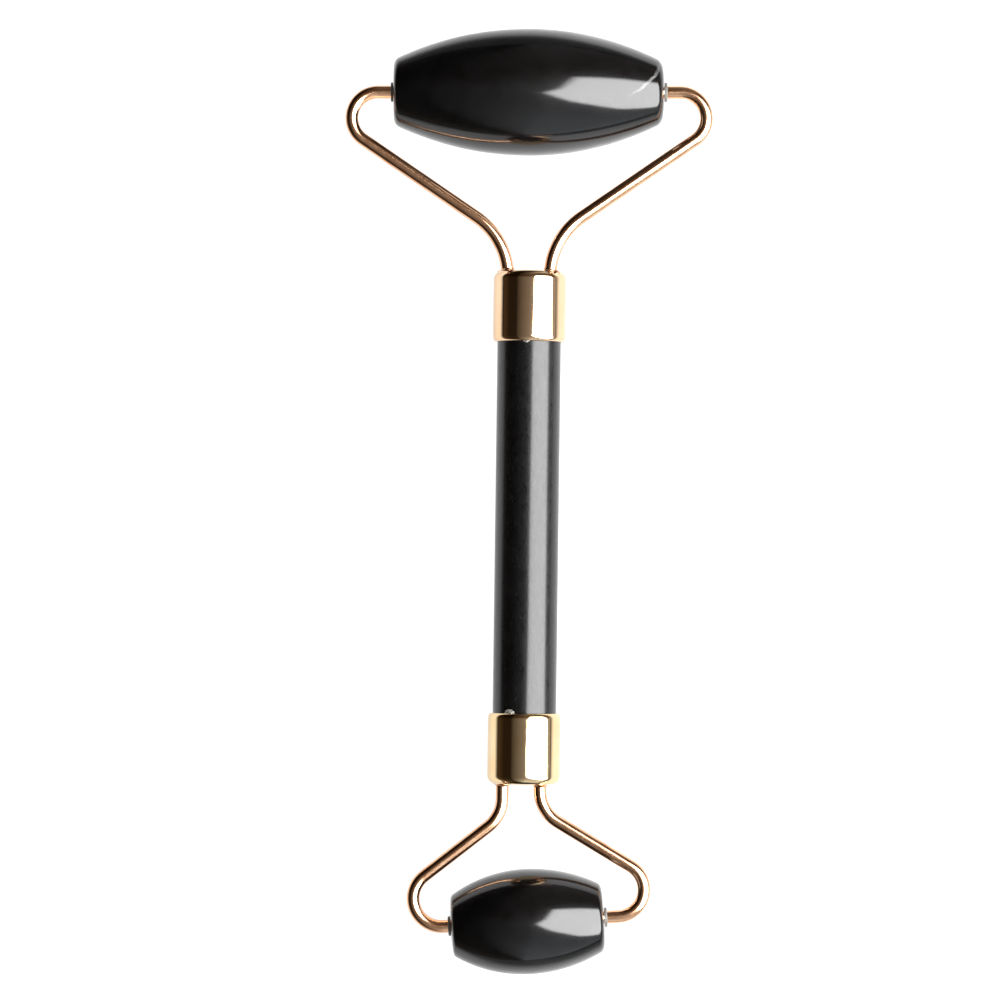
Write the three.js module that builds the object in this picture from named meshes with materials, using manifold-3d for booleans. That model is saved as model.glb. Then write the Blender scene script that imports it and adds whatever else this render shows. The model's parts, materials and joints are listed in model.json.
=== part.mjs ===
// Two-ended stone face roller. A black stone grip rod carries a plated ferrule and a bent wire yoke at
// each end, and each yoke holds a barrel-shaped stone that spins on the yoke's two inward stubs.
//
// Millimetres. The roller lies on a table, on both stones: +X across the stones, +Y along the grip
// towards the large stone, +Z up. The origin is the middle of the footprint, on the table.
import * as THREE from 'three';
import { mergeVertices } from 'three/addons/utils/BufferGeometryUtils.js';
import Module from 'manifold-3d';

const wasm = await Module();
wasm.setup();

// Grip rod, with a blind socket in each end for the potting resin
const ROD_RADIUS = 4.88;
const ROD_VISIBLE_LENGTH = 56.9;
const ROD_IN_FERRULE = 6.6;
const ROD_EDGE = 0.3;
const SOCKET_RADIUS = 2.0;
const SOCKET_DEPTH = 10.0;

// Ferrules: drawn cups over the ends of the rod
const FERRULE_RADIUS = 5.6;
const FERRULE_LENGTH = 10.9;
const FERRULE_BORE_RADIUS = 4.98;
const FERRULE_END_WALL = 1.2;
const FERRULE_CROWN_ROUND = 1.25;
const FERRULE_LIP_WIDTH = 0.35;
const FERRULE_LIP_HEIGHT = 1.0;

// Yokes: one length of plated wire each, a staple inside the ferrule and two arms outside it
const WIRE_RADIUS = 1.0;
const WIRE_HOLE_GAP = 0.15;
const STAPLE_DEPTH = 2.7;
const STAPLE_BEND = 1.4;
const ARM_ANGLE = THREE.MathUtils.degToRad(34.4);
const STUB_IN_STONE = 5.0;

// Potting resin in the ferrule and the rod's socket
const RESIN_GAP = 0.1;
const RESIN_STEM_LENGTH = 9.0;

// Sleeve bushes pressed into the ends of each stone's bore
const STONE_BORE_RADIUS = 1.6;
const BUSH_RADIUS = 1.5;
const BUSH_BORE_RADIUS = 1.09;
const BUSH_LENGTH = 6.3;
const BUSH_PROUD = 0.3;
const BUSH_EDGE = 0.12;

// The two heads. Distances run from the ferrule's outer end. Lean turns the arms and the stone about the
// ferrule's end, offset is how far the whole yoke stands to the side of the ferrule's centre line, slide
// is how far the stone sits along its stubs. Elbow bends, and the crowns, corners and domed ends of a
// stone, are given for the -X and the +X side.
const LARGE_HEAD = {
  axisDistance: 27.55,
  armVertex: 2.8,
  elbowBends: [4.0, 4.0],
  legSpacing: 6.5,
  legBend: 11.0,
  lean: THREE.MathUtils.degToRad(0.68),
  offset: -0.18,
  slide: 0,
  stone: {
    halfLength: 20.95,
    radius: 9.75,
    crowns: [48.0, 44.5],
    corners: [1.3, 1.9],
    domeRadii: [50.0, 20.0],
    bands: 8,
  },
};
const SMALL_HEAD = {
  axisDistance: 21.05,
  armVertex: 2.5,
  elbowBends: [4.15, 4.3],
  legSpacing: 5.8,
  legBend: 5.5,
  lean: THREE.MathUtils.degToRad(3.98),
  offset: 0.35,
  slide: 0.2,
  stone: {
    halfLength: 11.9,
    radius: 8.1,
    crowns: [23.5, 20.9],
    corners: [1.3, 0.9],
    domeRadii: [30.0, 30.0],
    bands: 6,
  },
};

// Fineness of the faceted solids
const ROUND_SEGMENTS = 40;
const BUSH_SEGMENTS = 20;
const WIRE_SIDES = 12;
const BEND_STEP = THREE.MathUtils.degToRad(14);
const CORNER_STEPS = 3;
const DOME_STEPS = 3;
const QUARTER_TURN = Math.PI / 2;
const AXIS_UP = new THREE.Vector3(0, 0, 1);

const blackStone = new THREE.MeshStandardMaterial({ color: 0x0b0b0c, roughness: 0.12, metalness: 0 });
const blackRod = new THREE.MeshStandardMaterial({ color: 0x141415, roughness: 0.38, metalness: 0 });
const roseGold = new THREE.MeshStandardMaterial({ color: 0xd9a07c, roughness: 0.14, metalness: 1 });
const sleeveNylon = new THREE.MeshStandardMaterial({ color: 0xe6e2d8, roughness: 0.45, metalness: 0 });
const curedResin = new THREE.MeshStandardMaterial({ color: 0xd8cfae, roughness: 0.25, metalness: 0 });

// ---- shared shapes ----

// Points on a quarter ellipse from one profile point to the next, leaving the first along the second's
// radius or along its height, as a rounded corner does.
function roundedCorner(from, to, startsAlongHeight, steps = CORNER_STEPS) {
  const points = [];
  for (let step = 0; step <= steps; step += 1) {
    const angle = (step / steps) * QUARTER_TURN;
    const early = Math.sin(angle);
    const late = 1 - Math.cos(angle);
    const alongRadius = startsAlongHeight ? late : early;
    const alongHeight = startsAlongHeight ? early : late;
    points.push(new THREE.Vector2(
      from.x + (to.x - from.x) * alongRadius,
      from.y + (to.y - from.y) * alongHeight,
    ));
  }
  return points;
}

function pair(radius, height) {
  return new THREE.Vector2(radius, height);
}

// Points on a circular arc, both ends included.
function arcPoints(centre, radius, start, end, steps) {
  const points = [];
  for (let step = 0; step <= steps; step += 1) {
    const angle = start + (step / steps) * (end - start);
    points.push(pair(centre.x + radius * Math.cos(angle), centre.y + radius * Math.sin(angle)));
  }
  return points;
}

// A closed mesh as a solid that can be cut; triangles with no area, as at a pole, are dropped.
function toSolid(geometry) {
  const bare = geometry.clone();
  bare.deleteAttribute('normal');
  bare.deleteAttribute('uv');
  const merged = mergeVertices(bare);
  const corners = merged.index.array;
  const kept = [];
  for (let first = 0; first < corners.length; first += 3) {
    const [a, b, c] = corners.slice(first, first + 3);
    if (a !== b && b !== c && c !== a) kept.push(a, b, c);
  }
  return new wasm.Manifold(new wasm.Mesh({
    numProp: 3,
    vertProperties: Float32Array.from(merged.attributes.position.array),
    triVerts: Uint32Array.from(kept),
  }));
}

function toGeometry(solid) {
  const mesh = solid.getMesh();
  const geometry = new THREE.BufferGeometry();
  geometry.setAttribute('position', new THREE.BufferAttribute(mesh.vertProperties, 3));
  geometry.setIndex(new THREE.BufferAttribute(mesh.triVerts, 1));
  geometry.computeVertexNormals();
  return geometry;
}

function cut(geometry, tool) {
  return toGeometry(toSolid(geometry).subtract(toSolid(tool)));
}

function piece(name, geometry, material) {
  const mesh = new THREE.Mesh(geometry, material);
  mesh.name = name;
  return mesh;
}

// ---- bent wire ----

// A curve given by stations along it: dense in the bends, only end points on the straights.
class StationCurve extends THREE.Curve {
  constructor(stations) {
    super();
    this.stations = stations;
  }

  station(fraction) {
    return this.stations[Math.round(fraction * (this.stations.length - 1))];
  }

  getPoint(fraction, target = new THREE.Vector3()) {
    return target.copy(this.station(fraction).at);
  }

  getPointAt(fraction, target) {
    return this.getPoint(fraction, target);
  }

  getTangentAt(fraction, target = new THREE.Vector3()) {
    return target.copy(this.station(fraction).along);
  }
}

// Stations of a wire that runs straight between corners, each corner bent to its own radius.
function bentWire(corners) {
  const last = corners.length - 1;
  const direction = (index) => corners[index + 1].at.clone().sub(corners[index].at).normalize();
  const stations = [{ at: corners[0].at.clone(), along: direction(0) }];
  for (let index = 1; index < last; index += 1) {
    const { at, bend } = corners[index];
    const before = direction(index - 1);
    const after = direction(index);
    const turn = before.angleTo(after);
    const start = at.clone().addScaledVector(before, -bend * Math.tan(turn / 2));
    const inward = after.clone().addScaledVector(before, -before.dot(after)).normalize();
    const centre = start.clone().addScaledVector(inward, bend);
    const steps = Math.ceil(turn / BEND_STEP);
    for (let step = 0; step <= steps; step += 1) {
      const angle = (turn * step) / steps;
      stations.push({
        at: centre.clone()
          .addScaledVector(inward, -bend * Math.cos(angle))
          .addScaledVector(before, bend * Math.sin(angle)),
        along: before.clone().multiplyScalar(Math.cos(angle)).addScaledVector(inward, Math.sin(angle)),
      });
    }
  }
  stations.push({ at: corners[last].at.clone(), along: direction(last - 1) });
  return new StationCurve(stations);
}

function roundBar(curve, radius) {
  const outline = [];
  for (let side = 0; side < WIRE_SIDES; side += 1) {
    const angle = (side / WIRE_SIDES) * 2 * Math.PI;
    outline.push(new THREE.Vector2(radius * Math.cos(angle), radius * Math.sin(angle)));
  }
  return new THREE.ExtrudeGeometry(new THREE.Shape(outline), {
    steps: curve.stations.length - 1,
    extrudePath: curve,
    bevelEnabled: false,
  });
}

// The place of a point of the leaning part of a head, such as the stone's centre or an elbow.
function leaning(head, x, y) {
  const place = new THREE.Vector3(x, y, 0).applyAxisAngle(AXIS_UP, head.lean);
  place.x += head.offset;
  return place;
}

// The yoke's centre line: stub, elbow, arm, leg and half the staple, then the same on the other side.
// The arms and stubs lean with the stone; the legs stay square to the ferrule.
function yokeCurve(head) {
  const lean = (x, y) => leaning(head, x, y);
  const cornerX = (head.axisDistance - head.armVertex) / Math.tan(ARM_ANGLE);
  const stubTip = head.stone.halfLength - STUB_IN_STONE;
  const armRoot = lean(0, head.armVertex);
  const half = (side, elbowBend) => {
    const elbow = lean(side * cornerX, head.axisDistance);
    const legX = head.offset + (side * head.legSpacing) / 2;
    const share = (legX - armRoot.x) / (elbow.x - armRoot.x);
    return [
      { at: lean(side * stubTip, head.axisDistance) },
      { at: elbow, bend: elbowBend },
      { at: armRoot.clone().lerp(elbow, share), bend: head.legBend },
      { at: new THREE.Vector3(legX, -STAPLE_DEPTH, 0), bend: STAPLE_BEND },
    ];
  };
  return bentWire([...half(-1, head.elbowBends[0]), ...half(1, head.elbowBends[1]).reverse()]);
}

// ---- pieces ----

// One ferrule: its outer end is at y = 0 and its mouth faces -Y. The yoke's legs pass its end wall.
function ferruleGeometry(yoke) {
  const mouth = -FERRULE_LENGTH;
  const lathe = new THREE.LatheGeometry([
    pair(0, -FERRULE_END_WALL),
    pair(FERRULE_BORE_RADIUS, -FERRULE_END_WALL),
    pair(FERRULE_BORE_RADIUS, mouth),
    ...roundedCorner(
      pair(FERRULE_RADIUS - FERRULE_LIP_WIDTH, mouth),
      pair(FERRULE_RADIUS, mouth + FERRULE_LIP_HEIGHT),
      false,
    ),
    ...roundedCorner(
      pair(FERRULE_RADIUS, -FERRULE_CROWN_ROUND),
      pair(FERRULE_RADIUS - FERRULE_CROWN_ROUND, 0),
      true,
    ),
    pair(0, 0),
  ], ROUND_SEGMENTS);
  return cut(lathe, roundBar(yoke, WIRE_RADIUS + WIRE_HOLE_GAP));
}

// Resin that fills the ferrule behind its end wall, round the staple, and keys into the rod's socket.
function resinGeometry(yoke) {
  const headRadius = FERRULE_BORE_RADIUS - RESIN_GAP;
  const rodEnd = ROD_IN_FERRULE - FERRULE_LENGTH;
  const headBottom = rodEnd + RESIN_GAP;
  const stemRadius = SOCKET_RADIUS - RESIN_GAP;
  const lathe = new THREE.LatheGeometry([
    pair(0, rodEnd - RESIN_STEM_LENGTH),
    pair(stemRadius, rodEnd - RESIN_STEM_LENGTH),
    pair(stemRadius, headBottom),
    pair(headRadius, headBottom),
    pair(headRadius, -FERRULE_END_WALL - RESIN_GAP),
    pair(0, -FERRULE_END_WALL - RESIN_GAP),
  ], ROUND_SEGMENTS);
  return cut(lathe, roundBar(yoke, WIRE_RADIUS + WIRE_HOLE_GAP));
}

// The grip rod lies along Y, centred, with a socket in each end.
function rodGeometry() {
  const end = ROD_VISIBLE_LENGTH / 2 + ROD_IN_FERRULE;
  return new THREE.LatheGeometry([
    pair(0, SOCKET_DEPTH - end),
    pair(SOCKET_RADIUS, SOCKET_DEPTH - end),
    pair(SOCKET_RADIUS, -end),
    pair(ROD_RADIUS - ROD_EDGE, -end),
    pair(ROD_RADIUS, ROD_EDGE - end),
    pair(ROD_RADIUS, end - ROD_EDGE),
    pair(ROD_RADIUS - ROD_EDGE, end),
    pair(SOCKET_RADIUS, end),
    pair(SOCKET_RADIUS, end - SOCKET_DEPTH),
    pair(0, end - SOCKET_DEPTH),
  ], ROUND_SEGMENTS);
}

// A barrel-shaped stone along X: crowned sides, a through bore, and slightly domed ends that run into the
// sides over rounded corners. Crowns, corners and dome radii are given for the -X and the +X half.
function stoneGeometry({ halfLength, radius, crowns, corners, domeRadii, bands }) {
  // One half's profile from next to the middle out to the bore's mouth. Its side, corner and dome are
  // three arcs that touch, so the corner's centre lies on circles round the centres of the other two.
  const halfProfile = (crown, corner, domeRadius) => {
    const crownCentre = pair(radius - crown, 0);
    const domeCentre = pair(0, halfLength - domeRadius);
    const toDome = domeCentre.clone().sub(crownCentre);
    const span = toDome.length();
    const reach = crown - corner;
    const along = (reach ** 2 - (domeRadius - corner) ** 2 + span ** 2) / (2 * span);
    const out = Math.sqrt(reach ** 2 - along ** 2);
    const outward = pair(-toDome.y, toDome.x).normalize();
    if (outward.x + outward.y < 0) outward.negate();
    const cornerCentre = crownCentre.clone().addScaledVector(toDome, along / span);
    cornerCentre.addScaledVector(outward, out);
    const sideEnd = cornerCentre.clone().sub(crownCentre).angle();
    const domeStart = cornerCentre.clone().sub(domeCentre).angle();
    const mouth = Math.acos(STONE_BORE_RADIUS / domeRadius);
    return [
      ...arcPoints(crownCentre, crown, 0, sideEnd, bands).slice(1, -1),
      ...arcPoints(cornerCentre, corner, sideEnd, domeStart, CORNER_STEPS),
      ...arcPoints(domeCentre, domeRadius, domeStart, mouth, DOME_STEPS).slice(1),
    ];
  };
  const low = halfProfile(crowns[0], corners[0], domeRadii[0]).map((point) => pair(point.x, -point.y));
  const high = halfProfile(crowns[1], corners[1], domeRadii[1]);
  const profile = [...low.reverse(), pair(radius, 0), ...high];
  profile.push(profile[0].clone());
  return new THREE.LatheGeometry(profile, ROUND_SEGMENTS).rotateZ(-QUARTER_TURN);
}

// A sleeve bush along X, centred, with its edges broken.
function bushGeometry() {
  const end = BUSH_LENGTH / 2;
  return new THREE.LatheGeometry([
    pair(BUSH_BORE_RADIUS, -end),
    pair(BUSH_RADIUS - BUSH_EDGE, -end),
    pair(BUSH_RADIUS, BUSH_EDGE - end),
    pair(BUSH_RADIUS, end - BUSH_EDGE),
    pair(BUSH_RADIUS - BUSH_EDGE, end),
    pair(BUSH_BORE_RADIUS, end),
    pair(BUSH_BORE_RADIUS, -end),
  ], BUSH_SEGMENTS).rotateZ(-QUARTER_TURN);
}

// ---- assembly ----

// One end of the tool, pointing along +Y from the ferrule's outer end. sides names its -X and +X side.
function buildHead(size, head, sides) {
  const group = new THREE.Group();
  const yoke = yokeCurve(head);
  group.add(piece(`${size}_end_ferrule`, ferruleGeometry(yoke), roseGold));
  group.add(piece(`${size}_yoke`, roundBar(yoke, WIRE_RADIUS), roseGold));
  group.add(piece(`${size}_end_resin_plug`, resinGeometry(yoke), curedResin));

  const roller = new THREE.Group();
  roller.position.copy(leaning(head, head.slide, head.axisDistance));
  roller.rotation.z = head.lean;
  roller.add(piece(`${size}_roller_stone`, stoneGeometry(head.stone), blackStone));
  const bushX = head.stone.halfLength + BUSH_PROUD - BUSH_LENGTH / 2;
  [-1, 1].forEach((side, index) => {
    const bush = piece(`${size}_roller_bush_${sides[index]}`, bushGeometry(), sleeveNylon);
    bush.position.x = side * bushX;
    roller.add(bush);
  });
  group.add(roller);
  return group;
}

const headDistance = ROD_VISIBLE_LENGTH / 2 + FERRULE_LENGTH;
const largeHead = buildHead('large', LARGE_HEAD, ['left', 'right']);
largeHead.position.y = headDistance;
const smallHead = buildHead('small', SMALL_HEAD, ['right', 'left']);
smallHead.position.y = -headDistance;
smallHead.rotation.z = Math.PI;

// Both stones touch the table, so the whole tool is pitched by the difference of their radii.
const stoneSpan = 2 * headDistance + LARGE_HEAD.axisDistance + SMALL_HEAD.axisDistance;
const pitch = Math.asin((LARGE_HEAD.stone.radius - SMALL_HEAD.stone.radius) / stoneSpan);
const tool = new THREE.Group();
tool.add(piece('handle_rod', rodGeometry(), blackRod), largeHead, smallHead);
tool.rotation.x = pitch;

const faceRoller = new THREE.Group();
faceRoller.add(tool);
faceRoller.updateMatrixWorld(true);
const box = new THREE.Box3().setFromObject(faceRoller, true);
tool.position.set(-(box.min.x + box.max.x) / 2, -(box.min.y + box.max.y) / 2, -box.min.z);
faceRoller.updateMatrixWorld(true);

export default faceRoller;
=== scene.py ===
"""Looks of a two-ended stone face roller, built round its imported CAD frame. Metres, +Z up."""
import json
import math
from functools import partial

import bmesh
import bpy
from mathutils import Matrix, Vector, noise


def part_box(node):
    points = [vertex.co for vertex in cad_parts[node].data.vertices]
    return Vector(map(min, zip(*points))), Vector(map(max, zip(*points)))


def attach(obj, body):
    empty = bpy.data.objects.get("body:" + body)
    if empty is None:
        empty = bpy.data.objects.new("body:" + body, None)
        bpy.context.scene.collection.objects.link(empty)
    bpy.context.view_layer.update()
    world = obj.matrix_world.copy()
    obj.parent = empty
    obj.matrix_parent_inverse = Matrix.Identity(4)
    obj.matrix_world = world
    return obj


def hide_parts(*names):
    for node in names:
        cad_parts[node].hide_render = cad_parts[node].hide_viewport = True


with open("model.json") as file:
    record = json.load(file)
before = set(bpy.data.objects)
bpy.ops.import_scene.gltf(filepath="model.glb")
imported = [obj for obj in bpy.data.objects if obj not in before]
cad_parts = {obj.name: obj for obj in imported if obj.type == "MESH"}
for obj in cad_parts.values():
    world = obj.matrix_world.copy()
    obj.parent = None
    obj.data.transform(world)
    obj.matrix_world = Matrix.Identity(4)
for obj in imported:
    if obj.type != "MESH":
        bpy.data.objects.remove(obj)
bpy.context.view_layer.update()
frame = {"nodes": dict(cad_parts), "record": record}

MM = 0.001
FULL_TURN = 2 * math.pi
QUARTER_TURN = math.pi / 2

# ---- driving dimensions, in metres ----

ROD_RADIUS = 4.88 * MM
ROD_EDGE = 0.3 * MM
SOCKET_RADIUS = 2.0 * MM
SOCKET_DEPTH = 10.0 * MM

FERRULE_RADIUS = 5.6 * MM
FERRULE_BORE_RADIUS = 4.98 * MM
FERRULE_END_WALL = 1.2 * MM
FERRULE_CROWN_ROUND = 1.25 * MM
FERRULE_LIP_WIDTH = 0.45 * MM
FERRULE_LIP_HEIGHT = 0.9 * MM
FERRULE_INNER_EDGE = 0.06 * MM
FERRULE_FLOOR_ROUND = 0.5 * MM

WIRE_RADIUS = 1.0 * MM
STAPLE_DEPTH = 2.7 * MM
STAPLE_BEND = 1.4 * MM
ARM_ANGLE = math.radians(34.4)
STUB_IN_STONE = 5.0 * MM
STUB_TIP_ROUND = 0.35 * MM

STONE_BORE_RADIUS = 1.6 * MM
STONE_BORE_EDGE = 0.12 * MM
BUSH_RADIUS = 1.5 * MM
BUSH_BORE_RADIUS = 1.09 * MM
BUSH_LENGTH = 6.3 * MM
BUSH_PROUD = 0.3 * MM
BUSH_EDGE = 0.14 * MM

# Each head: where its arms would meet, its elbows and legs, how far its yoke stands to the side of the
# ferrule's centre line, and its stone. Pairs are for the -X and the +X side of the head's own frame, which
# points away from the rod, so the small head's -X side is on the right
LARGE = {
    "name": "large",
    "arm_vertex": 2.8 * MM,
    "elbow_bends": (4.0 * MM, 4.0 * MM),
    "leg_spacing": 6.5 * MM,
    "leg_bend": 11.0 * MM,
    "offset": -0.18 * MM,
    "half_length": 20.95 * MM,
    "radius": 9.75 * MM,
    "crowns": (48.0 * MM, 44.5 * MM),
    "corners": (1.3 * MM, 1.9 * MM),
    "dome_radii": (50.0 * MM, 20.0 * MM),
    "sides": ("left", "right"),
}
SMALL = {
    "name": "small",
    "arm_vertex": 2.5 * MM,
    "elbow_bends": (4.15 * MM, 4.3 * MM),
    "leg_spacing": 5.8 * MM,
    "leg_bend": 5.5 * MM,
    "offset": 0.35 * MM,
    "half_length": 11.9 * MM,
    "radius": 8.1 * MM,
    "crowns": (23.5 * MM, 20.9 * MM),
    "corners": (1.3 * MM, 0.9 * MM),
    "dome_radii": (30.0 * MM, 30.0 * MM),
    "sides": ("right", "left"),
}

# ---- places, from the frame ----


def middle(node):
    low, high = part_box(node)
    return (Vector(low) + Vector(high)) / 2


mounts = {mount["name"]: mount for mount in frame["record"]["mounts"]}
joints = {joint["name"]: joint for joint in frame["record"]["behaviour"]["joints"]}
rod_centre = middle("handle_rod")
grip_axis = Vector(mounts["small_end_shoulder"]["axis"]).normalized()
across = Vector((1, 0, 0))
upward = across.cross(grip_axis)


def along_grip(mount):
    return (Vector(mounts[mount]["pos_m"]) - rod_centre).dot(grip_axis)


def corner_frame(origin, x_axis, y_axis):
    """A matrix that puts local points at origin, with local X and Y along the given directions."""
    x_axis = x_axis.normalized()
    z_axis = x_axis.cross(y_axis).normalized()
    y_axis = z_axis.cross(x_axis)
    turn = Matrix((x_axis, y_axis, z_axis)).transposed()
    return Matrix.Translation(origin) @ turn.to_4x4()


def node_length_along_grip(node):
    """How long a round node on the grip's axis is, from its box and the grip's pitch."""
    low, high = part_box(node)
    height_share = 2 * FERRULE_RADIUS * abs(grip_axis.z)
    return (high[1] - low[1] - height_share) / grip_axis.y


def head_places(head):
    """Adds the head's frame, with its origin at the ferrule's outer end and +Y away from the rod, its stone's
    frame, and how far the stone's axis leans and lies from the ferrule."""
    name = head["name"]
    sign = 1 if name == "large" else -1
    shoulder = along_grip(f"{name}_end_shoulder")
    outer_end = shoulder + sign * FERRULE_LENGTH
    origin = rod_centre + grip_axis * outer_end
    head["frame"] = corner_frame(origin, across * sign, grip_axis * sign)
    joint = joints[f"{name}_roller_spin"]
    axis = Vector(joint["axis"]) * sign
    centre = Vector(joint["pos_m"])
    head["stone_frame"] = corner_frame(centre, axis, upward.cross(axis))
    local_axis = head["frame"].to_3x3().inverted() @ axis
    head["lean"] = math.atan2(local_axis.y, local_axis.x)
    local_centre = head["frame"].inverted() @ centre - Vector((head["offset"], 0, 0))
    head["axis_distance"] = (Matrix.Rotation(-head["lean"], 3, "Z") @ local_centre).y


FERRULE_LENGTH = node_length_along_grip("large_end_ferrule")
head_places(LARGE)
head_places(SMALL)

# ---- mesh building ----


SHARP_EDGE = math.radians(35)


def mesh_object(name, vertices, faces, place):
    """A smooth-shaded mesh object with its normals out and its sharp edges kept crisp."""
    mesh = bpy.data.meshes.new(name)
    mesh.from_pydata([place @ Vector(vertex) for vertex in vertices], [], faces)
    shell = bmesh.new()
    shell.from_mesh(mesh)
    bmesh.ops.recalc_face_normals(shell, faces=shell.faces)
    shell.to_mesh(mesh)
    shell.free()
    mesh.shade_smooth()
    mesh.set_sharp_from_angle(angle=SHARP_EDGE)
    piece = bpy.data.objects.new(name, mesh)
    bpy.context.scene.collection.objects.link(piece)
    return piece


def arc(centre, radii, start, end, steps):
    """Points on an ellipse round centre, from one angle to another."""
    points = []
    for step in range(steps + 1):
        angle = start + (end - start) * step / steps
        points.append((centre[0] + radii[0] * math.cos(angle), centre[1] + radii[1] * math.sin(angle)))
    return points


def straight(start, end, steps):
    """Points from start to end, without the end itself."""
    return [
        (start[0] + (end[0] - start[0]) * step / steps, start[1] + (end[1] - start[1]) * step / steps)
        for step in range(steps)
    ]


def revolve(name, profile, place, segments, closed, wobble=None):
    """Turns (radius, height) points about the local X axis, height along it.
    A closed profile joins its last point to its first; an open one starts and ends on the axis."""
    vertices, rings = [], []
    for radius, height in profile:
        if radius == 0:
            rings.append([len(vertices)] * segments)
            vertices.append((height, 0, 0))
            continue
        ring = []
        for segment in range(segments):
            angle = FULL_TURN * segment / segments
            reach = radius + (wobble(height, angle) if wobble else 0)
            ring.append(len(vertices))
            vertices.append((height, reach * math.cos(angle), reach * math.sin(angle)))
        rings.append(ring)
    faces = []
    count = len(rings) if closed else len(rings) - 1
    for index in range(count):
        low, high = rings[index], rings[(index + 1) % len(rings)]
        for segment in range(segments):
            after = (segment + 1) % segments
            corners = [low[segment], low[after], high[after], high[segment]]
            distinct = list(dict.fromkeys(corners))
            if len(distinct) > 2:
                faces.append(distinct)
    return mesh_object(name, vertices, faces, place)


def bent_path(corners, turn_step, straight_step):
    """(point, direction) stations of a wire that runs straight between corners, each bent to its radius."""
    stations = []

    def run(start, end):
        length = (end - start).length
        steps = max(1, round(length / straight_step))
        direction = (end - start).normalized()
        for step in range(steps):
            stations.append((start.lerp(end, step / steps), direction))

    here = corners[0][0]
    for index in range(1, len(corners) - 1):
        corner, bend = corners[index]
        before = (corner - corners[index - 1][0]).normalized()
        after = (corners[index + 1][0] - corner).normalized()
        turn = before.angle(after)
        start = corner - before * bend * math.tan(turn / 2)
        inward = (after - before * before.dot(after)).normalized()
        centre = start + inward * bend
        run(here, start)
        steps = math.ceil(turn / turn_step)
        for step in range(steps):
            angle = turn * step / steps
            point = centre - inward * bend * math.cos(angle) + before * bend * math.sin(angle)
            stations.append((point, before * math.cos(angle) + inward * math.sin(angle)))
        here = centre - inward * bend * math.cos(turn) + before * bend * math.sin(turn)
    run(here, corners[-1][0])
    stations.append((corners[-1][0], (corners[-1][0] - here).normalized()))
    return stations


WIRE_SIDES = 40
WIRE_TIP_STEPS = 4


def rounded_tip(point, direction, outward):
    """(point, direction, radius) stations from the full wire out to its rounded tip at the given point."""
    base = point - outward * STUB_TIP_ROUND
    stations = []
    for step in range(WIRE_TIP_STEPS + 1):
        angle = QUARTER_TURN * step / WIRE_TIP_STEPS
        radius = WIRE_RADIUS - STUB_TIP_ROUND * (1 - math.cos(angle))
        stations.append((base + outward * STUB_TIP_ROUND * math.sin(angle), direction, radius))
    return stations


def sweep(name, stations, place):
    """A wire along stations in the local XY plane, with rounded tips. Its point attribute "straightened"
    holds where each point would lie if the wire were pulled straight along Z."""
    first, first_direction = stations[0]
    last, last_direction = stations[-1]
    path = rounded_tip(first, first_direction, -first_direction)[::-1]
    path += [(point, direction, WIRE_RADIUS) for point, direction in stations[1:-1]]
    path += rounded_tip(last, last_direction, last_direction)
    vertices, straightened, travelled = [], [], 0.0
    up = Vector((0, 0, 1))
    for index, (point, direction, radius) in enumerate(path):
        if index:
            travelled += (point - path[index - 1][0]).length
        side = direction.cross(up).normalized()
        for step in range(WIRE_SIDES):
            angle = FULL_TURN * step / WIRE_SIDES
            vertices.append(point + (side * math.cos(angle) + up * math.sin(angle)) * radius)
            straightened += [radius * math.cos(angle), radius * math.sin(angle), travelled]
    faces = []
    for index in range(len(path) - 1):
        low, high = index * WIRE_SIDES, (index + 1) * WIRE_SIDES
        for step in range(WIRE_SIDES):
            after = (step + 1) % WIRE_SIDES
            faces.append((low + step, low + after, high + after, high + step))
    last_ring = (len(path) - 1) * WIRE_SIDES
    faces.append(tuple(range(WIRE_SIDES)))
    faces.append(tuple(last_ring + step for step in reversed(range(WIRE_SIDES))))
    piece = mesh_object(name, vertices, faces, place)
    attribute = piece.data.attributes.new("straightened", "FLOAT_VECTOR", "POINT")
    attribute.data.foreach_set("vector", straightened)
    return piece


DROP_STEPS = 16
DROP_SEGMENTS = 32
DROP_UNEVEN = 0.16
DROP_LUMPS = 1.3


def droplet(name, centre, outward, lengthwise, radii):
    """A small set drop with its middle at centre; radii are outward, lengthwise and sideways."""
    angles = [QUARTER_TURN * (2 * step / DROP_STEPS - 1) for step in range(1, DROP_STEPS)]
    profile = [(0, -1)] + [(math.cos(angle), math.sin(angle)) for angle in angles] + [(0, 1)]

    def uneven(height, angle):
        place = Vector((height, math.cos(angle), math.sin(angle))) * DROP_LUMPS
        return DROP_UNEVEN * noise.noise(place + centre / MM)

    shape = corner_frame(centre, outward, lengthwise) @ Matrix.Diagonal((*radii, 1))
    return revolve(name, profile, shape, DROP_SEGMENTS, False, uneven)


# ---- shader building ----


AMBER = (1, 0.72, 0.48)


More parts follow.
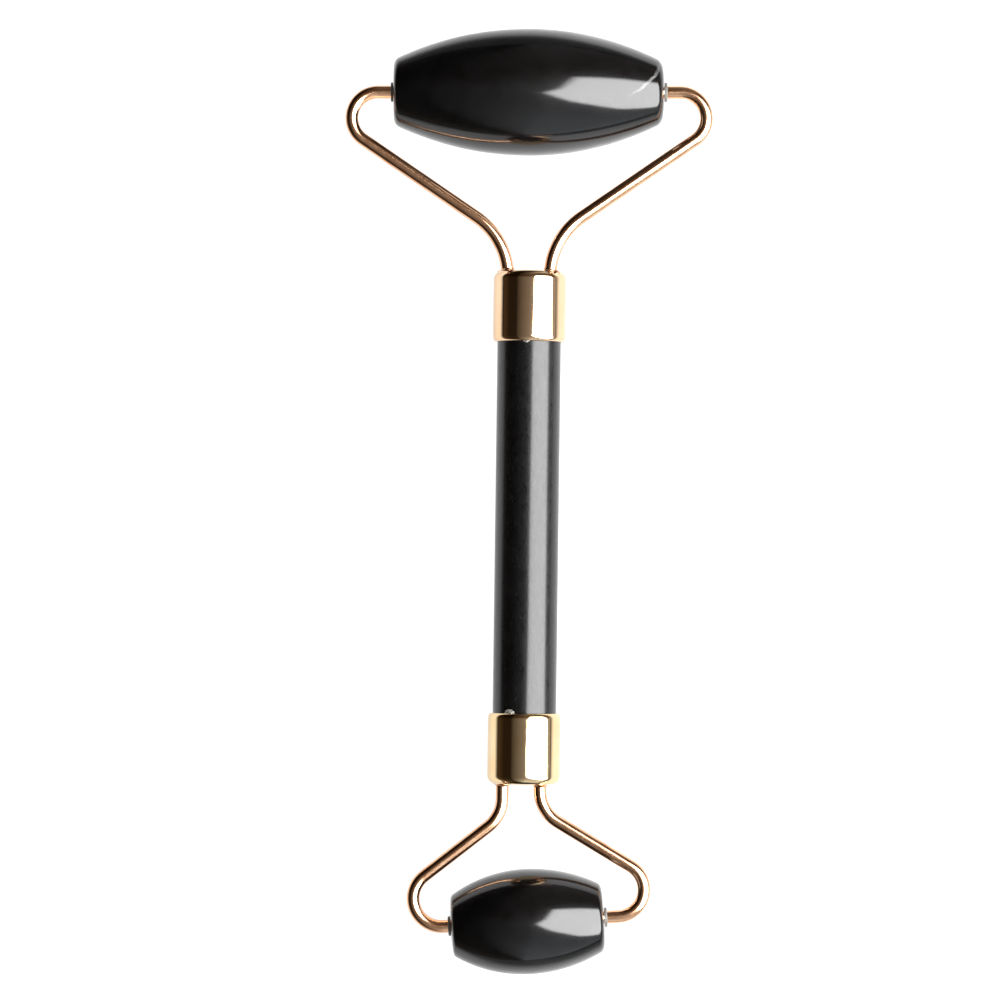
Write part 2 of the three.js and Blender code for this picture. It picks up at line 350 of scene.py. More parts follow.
class Nodes:
    """A node tree, with short calls that add nodes and join them."""

    def __init__(self, tree):
        self.tree = tree

    def node(self, kind, **settings):
        made = self.tree.nodes.new(kind)
        for setting, value in settings.items():
            setattr(made, setting, value)
        return made

    def join(self, source, target):
        self.tree.links.new(source, target)

    def maths(self, operation, *values):
        made = self.node("ShaderNodeMath", operation=operation)
        for socket, value in zip(made.inputs, values):
            if isinstance(value, (int, float)):
                socket.default_value = value
            else:
                self.join(value, socket)
        return made.outputs["Value"]

    def times(self, first, second):
        """Two colours, multiplied."""
        product = self.node("ShaderNodeVectorMath", operation="MULTIPLY")
        self.join(first, product.inputs[0])
        self.join(second, product.inputs[1])
        return product.outputs["Vector"]

    def scaled(self, vector, scale):
        made = self.node("ShaderNodeVectorMath", operation="SCALE")
        self.join(vector, made.inputs[0])
        made.inputs["Scale"].default_value = scale
        return made.outputs["Vector"]

    def range(self, value, low, high, to_low=0, to_high=1):
        made = self.node("ShaderNodeMapRange")
        limits = {"From Min": low, "From Max": high, "To Min": to_low, "To Max": to_high}
        for socket, limit in limits.items():
            made.inputs[socket].default_value = limit
        self.join(value, made.inputs["Value"])
        return made.outputs["Result"]

    def graded(self, value, stops):
        """Light that follows a value, by (value, brightness, whiteness) stops. Whiteness 0 is amber and 1 is
        white; below 0 is a deeper amber, and above 1 is faintly blue."""
        low, high = stops[0][0], stops[-1][0]
        peak = max(brightness for _, brightness, _ in stops)
        ramp = self.node("ShaderNodeValToRGB")
        self.join(self.range(value, low, high), ramp.inputs["Fac"])
        elements = ramp.color_ramp.elements
        while len(elements) > 1:
            elements.remove(elements[-1])
        for index, (place, brightness, whiteness) in enumerate(stops):
            position = (place - low) / (high - low)
            element = elements.new(position) if index else elements[0]
            element.position = position
            tint = [amber + (1 - amber) * whiteness for amber in AMBER]
            element.color = (*(brightness / peak * share for share in tint), 1)
        return self.scaled(ramp.outputs["Color"], peak)


class Glow(Nodes):
    """A new material that only gives off light."""

    def __init__(self, name):
        self.material = bpy.data.materials.new(name)
        self.material.use_nodes = True
        super().__init__(self.material.node_tree)
        self.tree.nodes.clear()
        self.light = self.node("ShaderNodeEmission")
        output = self.node("ShaderNodeOutputMaterial")
        self.join(self.light.outputs["Emission"], output.inputs["Surface"])


class Shader(Nodes):
    """A new material with a Principled shader, whose textures follow the piece's own coordinates."""

    def __init__(self, name, **values):
        self.material = bpy.data.materials.new(name)
        self.material.use_nodes = True
        super().__init__(self.material.node_tree)
        self.surface = self.tree.nodes["Principled BSDF"]
        for socket, value in values.items():
            self.surface.inputs[socket.replace("_", " ")].default_value = value
        self.position = self.node("ShaderNodeTexCoord").outputs["Object"]

    def stretched(self, scale, source=None):
        mapping = self.node("ShaderNodeMapping")
        mapping.inputs["Scale"].default_value = scale
        self.join(source or self.position, mapping.inputs["Vector"])
        return mapping.outputs["Vector"]

    def noise(self, scale, detail=3.0, roughness=0.5, distortion=0.0, vector=None):
        made = self.node("ShaderNodeTexNoise")
        made.inputs["Scale"].default_value = scale
        made.inputs["Detail"].default_value = detail
        made.inputs["Roughness"].default_value = roughness
        made.inputs["Distortion"].default_value = distortion
        self.join(vector or self.position, made.inputs["Vector"])
        return made.outputs["Fac"]

    def mix(self, factor, low_colour, high_colour):
        made = self.node("ShaderNodeMix", data_type="RGBA")
        self.join(factor, made.inputs["Factor"])
        for socket, colour in (("A", low_colour), ("B", high_colour)):
            target = next(one for one in made.inputs if one.name == socket and one.type == "RGBA")
            if isinstance(colour, tuple):
                target.default_value = (*colour, 1)
            else:
                self.join(colour, target)
        return next(one for one in made.outputs if one.type == "RGBA")

    def bump(self, height, distance, below=None):
        made = self.node("ShaderNodeBump")
        made.inputs["Distance"].default_value = distance
        made.inputs["Strength"].default_value = 1.0
        self.join(height, made.inputs["Height"])
        if below:
            self.join(below, made.inputs["Normal"])
        return made.outputs["Normal"]

    def set(self, socket, source):
        self.join(source, self.surface.inputs[socket])


def black_stone(name, painted_highlight=None):
    """Polished black stone: a clear sharp gloss over a slightly hazy one, faint clouding and a fine grain.
    Given a point, a normal and a reach, in metres, it paints a pale highlight streak into the base colour
    along a thin sheet through the stone, where the stone's end edge catches the light and across its
    highlight."""
    shader = Shader(
        name, IOR=1.5, Specular_IOR_Level=0.08, Coat_Weight=1.0, Coat_Roughness=0.09, Coat_IOR=1.5,
    )
    clouds = shader.range(shader.noise(260, detail=5, roughness=0.6, distortion=0.6), 0.35, 0.75)
    colour = shader.mix(clouds, (0.0008, 0.00085, 0.0010), (0.0024, 0.0025, 0.0028))
    if painted_highlight:
        # paints a pale highlight streak into the base colour, where the end edge catches the light
        colour = shader.mix(painted_highlight_mask(shader, *painted_highlight), colour, PAINTED_HIGHLIGHT_COLOUR)
    shader.set("Base Color", colour)
    haze = shader.noise(420, detail=4)
    shader.set("Roughness", shader.range(haze, 0.3, 0.7, 0.24, 0.4))
    waves = shader.bump(shader.noise(90, detail=2), 0.03 * MM)
    grain = shader.bump(shader.noise(2600, detail=3, roughness=0.65), 0.0034 * MM, below=waves)
    shader.set("Normal", grain)
    shader.set("Coat Normal", grain)
    return shader.material


def painted_highlight_mask(shader, point, normal, reach):
    """1 on the sheet of the painted highlight streak and 0 off it, a little uneven, fading out at reach from
    the point.
    """
    away = shader.node("ShaderNodeVectorMath", operation="SUBTRACT")
    shader.join(shader.position, away.inputs[0])
    away.inputs[1].default_value = point
    height = shader.node("ShaderNodeVectorMath", operation="DOT_PRODUCT")
    shader.join(away.outputs["Vector"], height.inputs[0])
    height.inputs[1].default_value = normal
    distance = shader.node("ShaderNodeVectorMath", operation="LENGTH")
    shader.join(away.outputs["Vector"], distance.inputs[0])
    jitter = shader.range(shader.noise(420, detail=4, roughness=0.7), 0, 1, -PAINTED_HIGHLIGHT_UNEVEN, PAINTED_HIGHLIGHT_UNEVEN)
    offset = shader.maths("ABSOLUTE", shader.maths("ADD", height.outputs["Value"], jitter))
    across_sheet = shader.range(offset, PAINTED_HIGHLIGHT_HALF_CORE, PAINTED_HIGHLIGHT_HALF_WIDTH, 1, 0)
    along_sheet = shader.range(distance.outputs["Value"], PAINTED_HIGHLIGHT_FADE_FROM * reach, reach, 1, 0)
    patches = shader.range(shader.noise(700, detail=3), 0.35, 0.6, 0.35, 1)
    return shader.maths("MULTIPLY", shader.maths("MULTIPLY", across_sheet, along_sheet), patches)


def black_rod(name):
    """Satin black stone: a softer gloss with a fine, slightly lengthwise grain and sparse paler specks."""
    shader = Shader(
        name, IOR=1.5, Specular_IOR_Level=0.25, Coat_Weight=0.5, Coat_Roughness=0.15, Coat_IOR=1.5,
    )
    clouds = shader.range(shader.noise(300, detail=5, roughness=0.6), 0.35, 0.75)
    dark = shader.mix(clouds, (0.0012, 0.0012, 0.0013), (0.0028, 0.0028, 0.0030))
    specks = shader.range(shader.noise(4200, detail=1), 0.68, 0.76)
    shader.set("Base Color", shader.mix(specks, dark, (0.022, 0.022, 0.022)))
    lengthwise = shader.stretched((1, 0.3, 1))
    haze = shader.noise(2200, detail=4, vector=lengthwise)
    shader.set("Roughness", shader.range(haze, 0.3, 0.7, 0.24, 0.4))
    scuffs = shader.bump(shader.noise(900, detail=3, vector=lengthwise), 0.002 * MM)
    fine = shader.noise(3400, detail=3, roughness=0.6, vector=lengthwise)
    grain = shader.bump(fine, 0.004 * MM, below=scuffs)
    shader.set("Normal", grain)
    shader.set("Coat Normal", grain)
    return shader.material


def rose_gold(name, bright, dull, smooth, rough):
    """Rose-gold plating with slight tone changes, fine dents, and a polish uneven between two roughnesses."""
    shader = Shader(name, Metallic=1.0)
    tone = shader.range(shader.noise(210, detail=4, roughness=0.6), 0.4, 0.7)
    shader.set("Base Color", shader.mix(tone, bright, dull))
    polish = shader.noise(700, detail=4)
    shader.set("Roughness", shader.range(polish, 0.35, 0.7, smooth, rough))
    dents = shader.bump(shader.noise(330, detail=2), 0.012 * MM)
    shader.set("Normal", shader.bump(shader.noise(2400, detail=3), 0.0008 * MM, below=dents))
    return shader.material


def drawn_wire(name):
    """The same plating on drawn wire: faint lines along its length and small darker bruises."""
    shader = Shader(name, Metallic=1.0)
    unrolled = shader.node("ShaderNodeAttribute", attribute_name="straightened").outputs["Vector"]
    lines = shader.noise(2600, detail=3, roughness=0.6, vector=shader.stretched((1, 1, 0.04), unrolled))
    bruises = shader.range(shader.noise(380, detail=4, roughness=0.65, vector=unrolled), 0.45, 0.75)
    shader.set("Base Color", shader.mix(bruises, (0.91, 0.55, 0.34), (0.74, 0.38, 0.21)))
    shader.set("Roughness", shader.range(lines, 0.3, 0.7, 0.11, 0.2))
    dents = shader.bump(shader.noise(520, detail=3, vector=unrolled), 0.009 * MM)
    shader.set("Normal", shader.bump(lines, 0.0013 * MM, below=dents))
    return shader.material


def nylon(name):
    shader = Shader(name, IOR=1.53, Roughness=0.45, Subsurface_Weight=0.35, Subsurface_Scale=0.6 * MM)
    shader.surface.inputs["Subsurface Radius"].default_value = (1.0, 0.9, 0.8)
    tone = shader.noise(900, detail=3)
    shader.set("Base Color", shader.mix(tone, (0.10, 0.10, 0.09), (0.14, 0.137, 0.125)))
    shader.set("Normal", shader.bump(shader.noise(3000, detail=2), 0.004 * MM))
    return shader.material


def resin(name, clarity):
    shader = Shader(name, IOR=1.54, Transmission_Weight=clarity, Roughness=0.1)
    tone = shader.noise(800, detail=3)
    shader.set("Base Color", shader.mix(tone, (0.9, 0.88, 0.82), (0.8, 0.76, 0.66)))
    shader.set("Normal", shader.bump(shader.noise(1500, detail=2), 0.01 * MM))
    return shader.material


# The painted highlight at the +X end of the large stone's upper side, a pale streak painted into its colour
# where its end edge catches the light and running on through its highlight: a point on it and its sheet's
# normal
PAINTED_HIGHLIGHT_POINT = Vector((18.15 * MM, 64.05 * MM, 15.4 * MM))
PAINTED_HIGHLIGHT_NORMAL = Vector((-0.328, 0.705, 0.630))
PAINTED_HIGHLIGHT_REACH = 4.4 * MM
PAINTED_HIGHLIGHT_FADE_FROM = 0.35
PAINTED_HIGHLIGHT_HALF_CORE = 0.104 * MM
PAINTED_HIGHLIGHT_HALF_WIDTH = 0.26 * MM
PAINTED_HIGHLIGHT_UNEVEN = 0.35 * MM
# the colour of the painted highlight streak
PAINTED_HIGHLIGHT_COLOUR = (0.13, 0.13, 0.13)

# The large stone's material has a pale highlight streak painted into its colour; the small stone's has none
STONE_WITH_PAINTED_HIGHLIGHT = black_stone("black_stone_painted_highlight", (PAINTED_HIGHLIGHT_POINT, PAINTED_HIGHLIGHT_NORMAL, PAINTED_HIGHLIGHT_REACH))
PLAIN_STONE = black_stone("polished_black_stone")
ROD = black_rod("satin_black_stone")
# The small end's plating is a little yellower than the large end's
PLATED = {
    "large": rose_gold("rose_gold_plating", (0.93, 0.66, 0.42), (0.89, 0.60, 0.37), 0.05, 0.1),
    "small": rose_gold("yellower_gold_plating", (0.92, 0.70, 0.42), (0.88, 0.63, 0.35), 0.05, 0.1),
}
WIRE = drawn_wire("rose_gold_wire")
BRAZE = rose_gold("rose_gold_braze", (0.86, 0.55, 0.34), (0.74, 0.42, 0.24), 0.16, 0.3)
NYLON = nylon("natural_nylon")
RESIN = resin("cured_resin", 0.15)
CLEAR_GLUE = resin("clear_glue", 0.85)


def finish_piece(piece, material, body, slot_name, *nodes):
    """Gives a piece its material and body and, if it stands for CAD nodes, hides those nodes. Its slot name
    is not used.
    """
    piece.data.materials.clear()
    piece.data.materials.append(material)
    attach(piece, body)
    if nodes:
        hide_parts(*nodes)


# ---- the grip ----


ROUND_STEPS = 6
GRIP_SEGMENTS = 160
ROD_RINGS = 60
ROD_WAVE_LENGTH = 14 * MM
ROD_WAVE_HEIGHT = 0.012 * MM


def build_rod():
    low, high = (Vector(corner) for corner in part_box("handle_rod"))
    end = ((high - low).y / 2 - ROD_RADIUS * abs(grip_axis.z)) / grip_axis.y
    edge = ROD_RADIUS - ROD_EDGE
    profile = [(0, SOCKET_DEPTH - end), (SOCKET_RADIUS, SOCKET_DEPTH - end), (SOCKET_RADIUS, -end)]
    profile += arc((edge, ROD_EDGE - end), (ROD_EDGE, ROD_EDGE), -QUARTER_TURN, 0, ROUND_STEPS)
    profile += straight((ROD_RADIUS, ROD_EDGE - end), (ROD_RADIUS, end - ROD_EDGE), ROD_RINGS)[1:]
    profile += arc((edge, end - ROD_EDGE), (ROD_EDGE, ROD_EDGE), 0, QUARTER_TURN, ROUND_STEPS)
    profile += [(SOCKET_RADIUS, end), (SOCKET_RADIUS, end - SOCKET_DEPTH), (0, end - SOCKET_DEPTH)]

    def ground_by_hand(height, angle):
        place = Vector((height / ROD_WAVE_LENGTH, math.cos(angle), math.sin(angle)))
        return noise.noise(place) * ROD_WAVE_HEIGHT

    place = corner_frame(rod_centre, grip_axis, upward)
    rod = revolve("grip_rod", profile, place, GRIP_SEGMENTS, False, ground_by_hand)
    finish_piece(rod, ROD, "handle", "black_rod", "handle_rod")


FERRULE_LIP_STEPS = 12
FERRULE_CROWN_STEPS = 16


def build_ferrule(head):
    """A drawn cup, open towards the rod, with a rounded crown, a rolled lip and a thin wall."""
    mouth = -FERRULE_LENGTH
    floor = -FERRULE_END_WALL
    corner = FERRULE_FLOOR_ROUND
    crown = FERRULE_CROWN_ROUND
    lip = (FERRULE_LIP_WIDTH, FERRULE_LIP_HEIGHT)
    profile = [(0, floor), (FERRULE_BORE_RADIUS - corner, floor)]
    profile += arc(
        (FERRULE_BORE_RADIUS - corner, floor - corner), (corner, corner), QUARTER_TURN, 0, ROUND_STEPS
    )[1:]
    profile += [(FERRULE_BORE_RADIUS, mouth + FERRULE_INNER_EDGE)]
    profile += [(FERRULE_BORE_RADIUS + FERRULE_INNER_EDGE, mouth)]
    profile += arc((FERRULE_RADIUS - lip[0], mouth + lip[1]), lip, -QUARTER_TURN, 0, FERRULE_LIP_STEPS)
    profile += arc((FERRULE_RADIUS - crown, -crown), (crown, crown), 0, QUARTER_TURN, FERRULE_CROWN_STEPS)
    profile += [(0, 0)]
    outer_end = head["frame"]
    place = corner_frame(outer_end.translation, outer_end.col[1].to_3d(), outer_end.col[2].to_3d())
    name = head["name"]
    ferrule = revolve(f"{name}_ferrule", profile, place, GRIP_SEGMENTS, False)
    finish_piece(ferrule, PLATED[name], "handle", "plated_metal", f"{name}_end_ferrule")


# ---- the yokes ----


def yoke_corners(head):
    """The yoke's centre line as (corner, bend radius): stub, elbow, arm, leg and staple, then back out."""
    turn = Matrix.Rotation(head["lean"], 3, "Z")
    offset = Vector((head["offset"], 0, 0))
    elbow_x = (head["axis_distance"] - head["arm_vertex"]) / math.tan(ARM_ANGLE)
    stub_tip = head["half_length"] - STUB_IN_STONE
    arm_root = turn @ Vector((0, head["arm_vertex"], 0)) + offset

    def half(side, bend):
        elbow = turn @ Vector((side * elbow_x, head["axis_distance"], 0)) + offset
        leg_x = head["offset"] + side * head["leg_spacing"] / 2
        share = (leg_x - arm_root.x) / (elbow.x - arm_root.x)
        return [
            (turn @ Vector((side * stub_tip, head["axis_distance"], 0)) + offset, 0),
            (elbow, bend),
            (arm_root.lerp(elbow, share), head["leg_bend"]),
            (Vector((leg_x, -STAPLE_DEPTH, 0)), STAPLE_BEND),
        ]

    return half(-1, head["elbow_bends"][0]) + half(1, head["elbow_bends"][1])[::-1]


WIRE_TURN_STEP = math.radians(3)
WIRE_STRAIGHT_STEP = 0.7 * MM


def build_yoke(head):
    name = head["name"]
    stations = bent_path(yoke_corners(head), WIRE_TURN_STEP, WIRE_STRAIGHT_STEP)
    yoke = sweep(f"{name}_wire_yoke", stations, head["frame"])
    finish_piece(yoke, WIRE, "handle", "plated_wire", f"{name}_yoke")


BRAZE_REACH = 0.6 * MM
BRAZE_HEIGHT = 0.5 * MM
BRAZE_RIM = 0.03 * MM
BRAZE_SINK = 0.25 * MM
BRAZE_OVERLAP = 0.05 * MM
BRAZE_RAGGED = 0.35 * MM
BRAZE_LUMPS = 1.7
BRAZE_STEPS = 8
BRAZE_SEGMENTS = 40


def build_braze(head):
    """A small concave fillet of braze round each leg, where it leaves the ferrule's end wall."""
    inner = WIRE_RADIUS - BRAZE_OVERLAP
    outer = WIRE_RADIUS + BRAZE_REACH
    hollow = (BRAZE_REACH, BRAZE_HEIGHT - BRAZE_RIM)
    profile = [(inner, -BRAZE_SINK), (outer, -BRAZE_SINK), (outer, BRAZE_RIM)]
    profile += arc((outer, BRAZE_HEIGHT), hollow, -QUARTER_TURN, -math.pi, BRAZE_STEPS)[1:]
    profile += [(inner, BRAZE_HEIGHT)]

    def ragged(seed, height, angle):
        """Greatest at the ferrule's face, and fading out up the leg."""
        share = max(0, 1 - abs(height) / BRAZE_HEIGHT)
        place = Vector((BRAZE_LUMPS * math.cos(angle), BRAZE_LUMPS * math.sin(angle), seed))
        return share * noise.noise(place) * BRAZE_RAGGED

    for sign, side in zip((-1, 1), head["sides"]):
        leg_x = head["offset"] + sign * head["leg_spacing"] / 2
        place = head["frame"] @ Matrix.Translation((leg_x, 0, 0)) @ Matrix.Rotation(QUARTER_TURN, 4, "Z")
        edge = partial(ragged, leg_x / MM)
        fillet = revolve(f"{head['name']}_braze_{side}", profile, place, BRAZE_SEGMENTS, True, edge)
        finish_piece(fillet, BRAZE, "handle", "plated_metal")


def on_grip(radius, turn, along):
    """The point at a radius round the grip's axis, turned from straight up towards +X, and the way out."""
    outward = across * math.sin(turn) + upward * math.cos(turn)
    return rod_centre + grip_axis * along + outward * radius, outward


# The solder run: its turn from straight up towards +X, its depth under the ferrule's side, how far short of
# the ferrule's outer end it lies, how much it leans along the grip, and its radii
SOLDER_TURN = math.radians(51)
SOLDER_SINK = 0.35 * MM
SOLDER_SETBACK = 0.3 * MM
SOLDER_SLOPE = 0.8
SOLDER_RADII = (0.3 * MM, 0.5 * MM, 0.55 * MM)
# The glue beads: their turn from straight up towards +X, how far to +Y of the lip they lie, and their radii
GLUE_BEADS = {
    "small": (math.radians(-28), 0.1 * MM, (0.45 * MM, 0.6 * MM, 0.8 * MM)),
    "large": (math.radians(-5), -0.05 * MM, (0.28 * MM, 0.3 * MM, 0.5 * MM)),
}


def build_drips():
    """The solder run beside the large yoke's leg, and the two beads of glue squeezed out at the lips."""
    along = along_grip("large_end_shoulder") + FERRULE_LENGTH - SOLDER_SETBACK
    centre, outward = on_grip(FERRULE_RADIUS - SOLDER_SINK, SOLDER_TURN, along)
    solder = droplet("solder_run", centre, outward + grip_axis * SOLDER_SLOPE, grip_axis, SOLDER_RADII)
    finish_piece(solder, BRAZE, "handle", "plated_metal")
    for name, (turn, past_lip, radii) in GLUE_BEADS.items():
        centre, outward = on_grip(ROD_RADIUS, turn, along_grip(f"{name}_end_shoulder") + past_lip)
        bead = droplet(f"{name}_end_glue_bead", centre, outward, grip_axis, radii)
        finish_piece(bead, CLEAR_GLUE, "handle", "cured_resin")


# ---- the stones ----


SIDE_STEPS = 44
CORNER_STEPS = 16
DOME_STEPS = 14
STONE_SEGMENTS = 224
STONE_WAVE_LENGTH = 11 * MM
STONE_WAVE_HEIGHT = 0.05 * MM
STONE_WAVES_ROUND = 0.9
# Where in the noise each stone's waviness is taken from
STONE_SEEDS = {"large": Vector((3.1, 7.7, 1.3)), "small": Vector((8.4, 2.6, 5.9))}


def stone_half(head, crown, corner, dome_radius):
    """One half's (radius, height) points: side, corner and dome are three arcs that touch."""
    side_centre = Vector((head["radius"] - crown, 0))
    dome_centre = Vector((0, head["half_length"] - dome_radius))
    span = dome_centre - side_centre
    reach = crown - corner
    share = (reach ** 2 - (dome_radius - corner) ** 2 + span.length_squared) / (2 * span.length)
    outward = Vector((-span.y, span.x)).normalized()
    if outward.x + outward.y < 0:
        outward.negate()
    corner_centre = side_centre + span.normalized() * share + outward * math.sqrt(reach ** 2 - share ** 2)
    to_side, to_dome = corner_centre - side_centre, corner_centre - dome_centre
    side_end = math.atan2(to_side.y, to_side.x)
    dome_start = math.atan2(to_dome.y, to_dome.x)
    mouth = math.acos((STONE_BORE_RADIUS + STONE_BORE_EDGE) / dome_radius)
    points = arc(side_centre, (crown, crown), 0, side_end, SIDE_STEPS)[1:-1]
    points += arc(corner_centre, (corner, corner), side_end, dome_start, CORNER_STEPS)
    points += arc(dome_centre, (dome_radius, dome_radius), dome_start, mouth, DOME_STEPS)[1:]
    points.append((STONE_BORE_RADIUS, points[-1][1] - STONE_BORE_EDGE))
    return points


def stone_profile(head):
    """The barrel's profile from one bore edge to the other; crowns, corners and domes differ by side."""
    low, high = (
        stone_half(head, crown, corner, dome_radius)
        for crown, corner, dome_radius in zip(head["crowns"], head["corners"], head["dome_radii"])
    )
    return [(radius, -height) for radius, height in reversed(low)] + [(head["radius"], 0)] + high


def build_stone(head):
    name = head["name"]

    def cut_by_hand(height, angle):
        """The slight waviness of a hand-ground stone."""
        reach = STONE_WAVES_ROUND
        place = Vector((height / STONE_WAVE_LENGTH, reach * math.cos(angle), reach * math.sin(angle)))
        return noise.noise(place + STONE_SEEDS[name]) * STONE_WAVE_HEIGHT

    profile = stone_profile(head)
    stone = revolve(f"{name}_stone", profile, head["stone_frame"], STONE_SEGMENTS, True, cut_by_hand)
    # only the large stone carries the painted highlight streak
    material = STONE_WITH_PAINTED_HIGHLIGHT if name == "large" else PLAIN_STONE
    finish_piece(stone, material, f"{name}_roller", "black_stone", f"{name}_roller_stone")


BUSH_EDGE_STEPS = 5
BUSH_SEGMENTS = 72


def build_bushes(head):
    name = head["name"]
    half = BUSH_LENGTH / 2
    edge = BUSH_EDGE
    profile = [(BUSH_BORE_RADIUS, -half + edge / 2), (BUSH_BORE_RADIUS + edge / 2, -half)]
    profile += arc((BUSH_RADIUS - edge, edge - half), (edge, edge), -QUARTER_TURN, 0, BUSH_EDGE_STEPS)
    profile += arc((BUSH_RADIUS - edge, half - edge), (edge, edge), 0, QUARTER_TURN, BUSH_EDGE_STEPS)
    profile += [(BUSH_BORE_RADIUS + edge / 2, half), (BUSH_BORE_RADIUS, half - edge / 2)]
    centre = head["half_length"] + BUSH_PROUD - half
    for sign, side in zip((-1, 1), head["sides"]):
        place = head["stone_frame"] @ Matrix.Translation((sign * centre, 0, 0))
        bush = revolve(f"{name}_sleeve_{side}", profile, place, BUSH_SEGMENTS, True)
        finish_piece(bush, NYLON, f"{name}_roller", "sleeve_plastic", f"{name}_roller_bush_{side}")


build_rod()
for each in (LARGE, SMALL):
    build_ferrule(each)
    build_yoke(each)
    build_braze(each)
    build_stone(each)
    build_bushes(each)
build_drips()
for node in ("large_end_resin_plug", "small_end_resin_plug"):
    plug = frame["nodes"][node]
    plug.data.materials.clear()
    plug.data.materials.append(RESIN)

# ---- studio ----


TABLE_HALF = 4.0
TABLE_PALENESS = 0.15
TABLE_GLOW = 1.0
LIT_SHEET_HEIGHT = -0.1 * MM


def flat_sheet(name, half, height):
    corners = [(-half, -half, height), (half, -half, height), (half, half, height), (-half, half, height)]
    return mesh_object(name, corners, [(0, 1, 2, 3)], Matrix())


def build_table():
    """A pale table with a glow of its own, which keeps it white where the roller shades it. Glossy surfaces
    see the lit sheet instead."""
    table = flat_sheet("table", TABLE_HALF, 0)
    shader = Shader(
        "pale_table", Roughness=0.9, Specular_IOR_Level=0.0, Emission_Color=(1, 1, 1, 1),
        Emission_Strength=TABLE_GLOW, Base_Color=(TABLE_PALENESS, TABLE_PALENESS, TABLE_PALENESS, 1),
    )
    table.data.materials.append(shader.material)
    table.visible_glossy = False


# How bright the lit sheet under the roller is, in (millimetres, brightness, whiteness) stops along X and Y
SHEET_ALONG_X = [
    (-260, 0.08, 1), (-123, 0.2, 1), (-70, 0.7, 1), (-46, 1.15, 1), (-22, 1.15, 1), (-11, 0.92, 1),
    (2, 1.1, 1), (13, 1.35, 1), (30, 1.4, 1), (45, 1.3, 1), (60, 1.1, 1), (90, 0.62, 1), (190, 0.4, 1),
    (500, 0.25, 1),
]
SHEET_ALONG_Y = [
    (-400, 0.22, 1), (-118, 0.3, 1), (-106, 0.5, 1), (-97, 0.8, 1), (-88, 1, 1), (90, 1, 1), (97, 0.75, 1),
    (104, 0.3, 1), (112, 0.18, 1), (124, 0.12, 1), (400, 0.1, 1),
]
# How far the ends of its bright stretch along Y run off square: they lie further along +Y towards +X
SHEET_SLANT = 0.35


def build_lit_sheet():
    """A sheet lit in the middle, which fades out past the roller. Only glossy surfaces see it."""
    sheet = flat_sheet("lit_sheet", TABLE_HALF, LIT_SHEET_HEIGHT)
    glow = Glow("lit_sheet")
    place = glow.node("ShaderNodeTexCoord").outputs["Object"]
    in_mm = glow.node("ShaderNodeSeparateXYZ")
    glow.join(glow.scaled(place, 1 / MM), in_mm.inputs["Vector"])
    x, y = in_mm.outputs["X"], in_mm.outputs["Y"]
    slanted_y = glow.maths("MULTIPLY_ADD", x, -SHEET_SLANT, y)
    light = glow.times(glow.graded(x, SHEET_ALONG_X), glow.graded(slanted_y, SHEET_ALONG_Y))
    glow.join(light, glow.light.inputs["Color"])
    sheet.data.materials.append(glow.material)
    for ray in ("camera", "diffuse", "transmission", "shadow", "volume_scatter"):
        setattr(sheet, f"visible_{ray}", False)


SOFTBOX_DISTANCE = 1.3
SOFTBOX_TILT = math.radians(45)
SOFTBOX_STRENGTH = 13.0
# The fading rim's half width, as a share of the way from the middle to a corner
SOFTBOX_SOFT_EDGE = 0.09
# The softbox's corners, as degrees from straight up towards +X, and degrees from square-on towards +Y
SOFTBOX_CORNERS = [
    (7, -5), (13, 4), (19, 24), (60, 23), (70, 16), (83, -20), (70, -37), (48, -36), (33, -29), (20, -21.5),
    (12, -13),
]


def build_softbox():
    """One flat, many-sided softbox on the +X side, tilted to face the roller, that fades out at its edges.
    It lights and reflects but isn't seen by the camera itself."""
    outward = Vector((math.sin(SOFTBOX_TILT), 0, math.cos(SOFTBOX_TILT)))
    sideways = Vector((math.cos(SOFTBOX_TILT), 0, -math.sin(SOFTBOX_TILT)))
    place = corner_frame(outward * SOFTBOX_DISTANCE, sideways, Vector((0, 1, 0)))
    outline = []
    for away, along in SOFTBOX_CORNERS:
        turn = math.radians(away) - SOFTBOX_TILT
        height = SOFTBOX_DISTANCE / math.cos(turn) * math.tan(math.radians(along))
        outline.append(Vector((SOFTBOX_DISTANCE * math.tan(turn), height, 0)))
    centre = sum(outline, Vector()) / len(outline)
    inner = [centre.lerp(corner, 1 - SOFTBOX_SOFT_EDGE) for corner in outline]
    outer = [centre.lerp(corner, 1 + SOFTBOX_SOFT_EDGE) for corner in outline]
    count = len(outline)
    rim = [(step, (step + 1) % count, count + (step + 1) % count, count + step) for step in range(count)]
    panel = mesh_object("softbox", inner + outer, [tuple(range(count))] + rim, place)
    brightness = panel.data.attributes.new("brightness", "FLOAT", "POINT")
    brightness.data.foreach_set("value", [1.0] * count + [0.0] * count)
    glow = Glow("softbox")
    fade = glow.node("ShaderNodeAttribute", attribute_name="brightness").outputs["Fac"]
    glow.join(glow.maths("MULTIPLY", fade, SOFTBOX_STRENGTH), glow.light.inputs["Strength"])
    panel.data.materials.append(glow.material)
    panel.visible_camera = False


FILL_PLACE = Vector((-0.3, 0, 1.4))
FILL_WIDTH = 1.6
FILL_WATTS = 3.0


def build_fill():
    """A wide, weak lamp overhead that lifts the shadows and doesn't show in the gloss."""
    lamp = bpy.data.lights.new("fill", "AREA")
    lamp.shape = "DISK"
    lamp.size = FILL_WIDTH
    lamp.energy = FILL_WATTS
    fill = bpy.data.objects.new("fill", lamp)
    fill.location = FILL_PLACE
    fill.rotation_euler = (0, math.atan2(FILL_PLACE.x, FILL_PLACE.z), 0)
    fill.visible_glossy = False
    fill.visible_camera = False
    bpy.context.scene.collection.objects.link(fill)


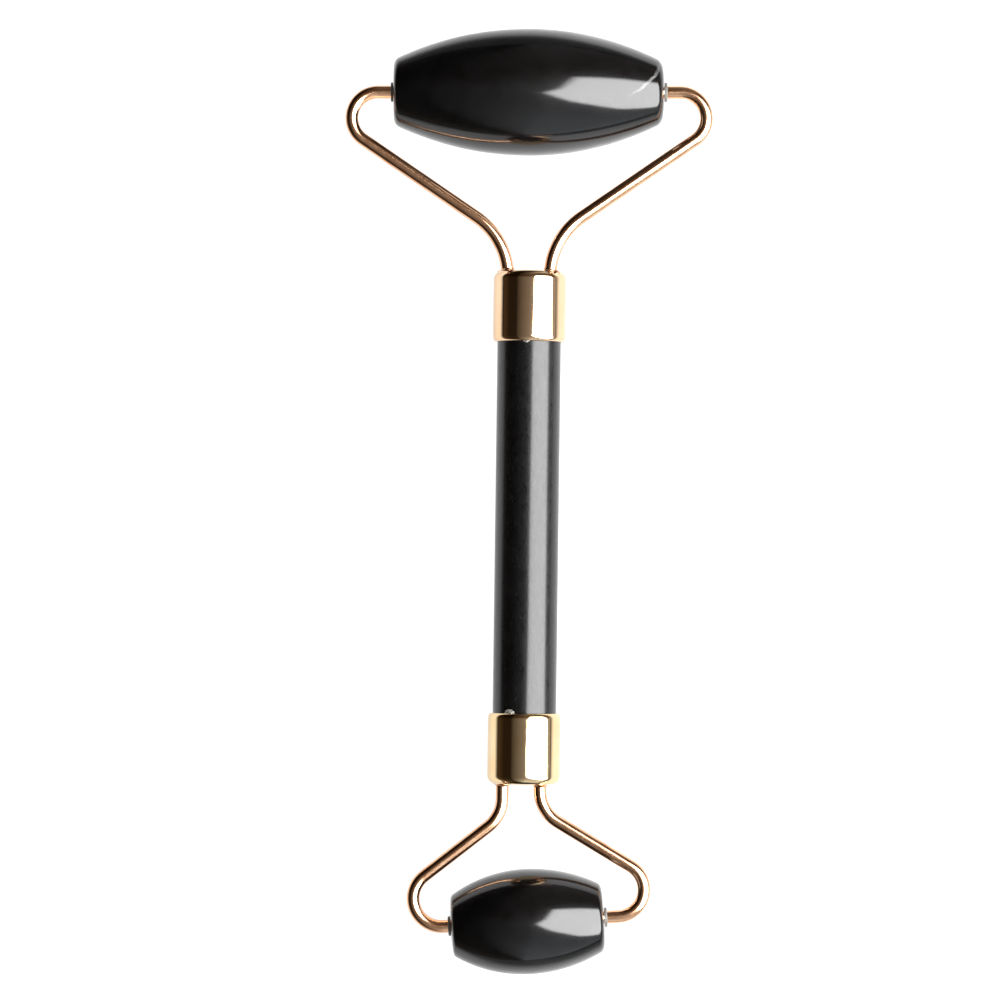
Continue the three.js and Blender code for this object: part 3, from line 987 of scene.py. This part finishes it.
# The room's brightness, in (degrees from straight up towards +X, brightness, whiteness) stops
ROOM_ACROSS = [
    (-90, 0.07, -0.2), (-80, 0.05, -0.2), (-68, 0.022, -0.2), (-43, 0.02, 0), (-35, 0.08, 0.5),
    (-18, 0.16, 0.7), (0, 0.24, 0.8), (8, 0.34, 0.9), (60, 0.34, 0.9), (90, 0.42, 0.9),
]
# How that changes along the grip, in (direction's Y, brightness, whiteness) stops
ROOM_ALONG = [
    (-1, 2.4, 1.3), (-0.9, 2.3, 1.3), (-0.75, 1.8, 1.3), (-0.5, 1.3, 1.1), (-0.25, 1.05, 1), (0, 1, 1),
    (0.12, 0.9, 0.9), (0.22, 0.6, 0.5), (0.36, 0.42, 0.2), (0.65, 0.35, 0.1), (0.86, 0.5, 0.5),
    (1, 0.6, 0.9),
]


def build_room():
    """A dark room that brightens from the -X side of overhead towards the softbox, and is cooler and brighter
    towards -Y."""
    world = bpy.data.worlds.new("room")
    world.use_nodes = True
    bpy.context.scene.world = world
    room = Nodes(world.node_tree)
    direction = room.node("ShaderNodeSeparateXYZ")
    room.join(room.node("ShaderNodeTexCoord").outputs["Generated"], direction.inputs["Vector"])
    x, y, z = direction.outputs
    degrees = room.maths("DEGREES", room.maths("ARCTAN2", x, z))
    light = room.times(room.graded(degrees, ROOM_ACROSS), room.graded(y, ROOM_ALONG))
    room.join(light, world.node_tree.nodes["Background"].inputs["Color"])


# The camera looks down from above the small end of the rod, tilted towards +Y and rolled a little
CAMERA_HEIGHT = 0.790
CAMERA_SETBACK = Vector((0.06 * MM, 27.27 * MM, 0))
CAMERA_ROLL = math.radians(0.752)
CAMERA_NEAR = 0.01
AIM = Vector((-3.55 * MM, -0.07 * MM, 9.0 * MM))
# The lens and the width of the frame behind it, in millimetres
LENS = 183.01
SENSOR = 36.0


def build_camera():
    data = bpy.data.cameras.new("camera")
    data.sensor_width = SENSOR
    data.lens = LENS
    data.clip_start = CAMERA_NEAR
    camera = bpy.data.objects.new("camera", data)
    bpy.context.scene.collection.objects.link(camera)
    position = AIM - CAMERA_SETBACK
    position.z = CAMERA_HEIGHT
    forward = (AIM - position).normalized()
    right = forward.cross(Vector((0, 1, 0))).normalized()
    right.rotate(Matrix.Rotation(-CAMERA_ROLL, 3, forward))
    up = right.cross(forward)
    turn = Matrix((right, up, -forward)).transposed()
    camera.matrix_world = Matrix.Translation(position) @ turn.to_4x4()
    bpy.context.scene.camera = camera


build_table()
build_lit_sheet()
build_softbox()
build_fill()
build_room()
build_camera()
bpy.context.scene.view_settings.view_transform = "Standard"
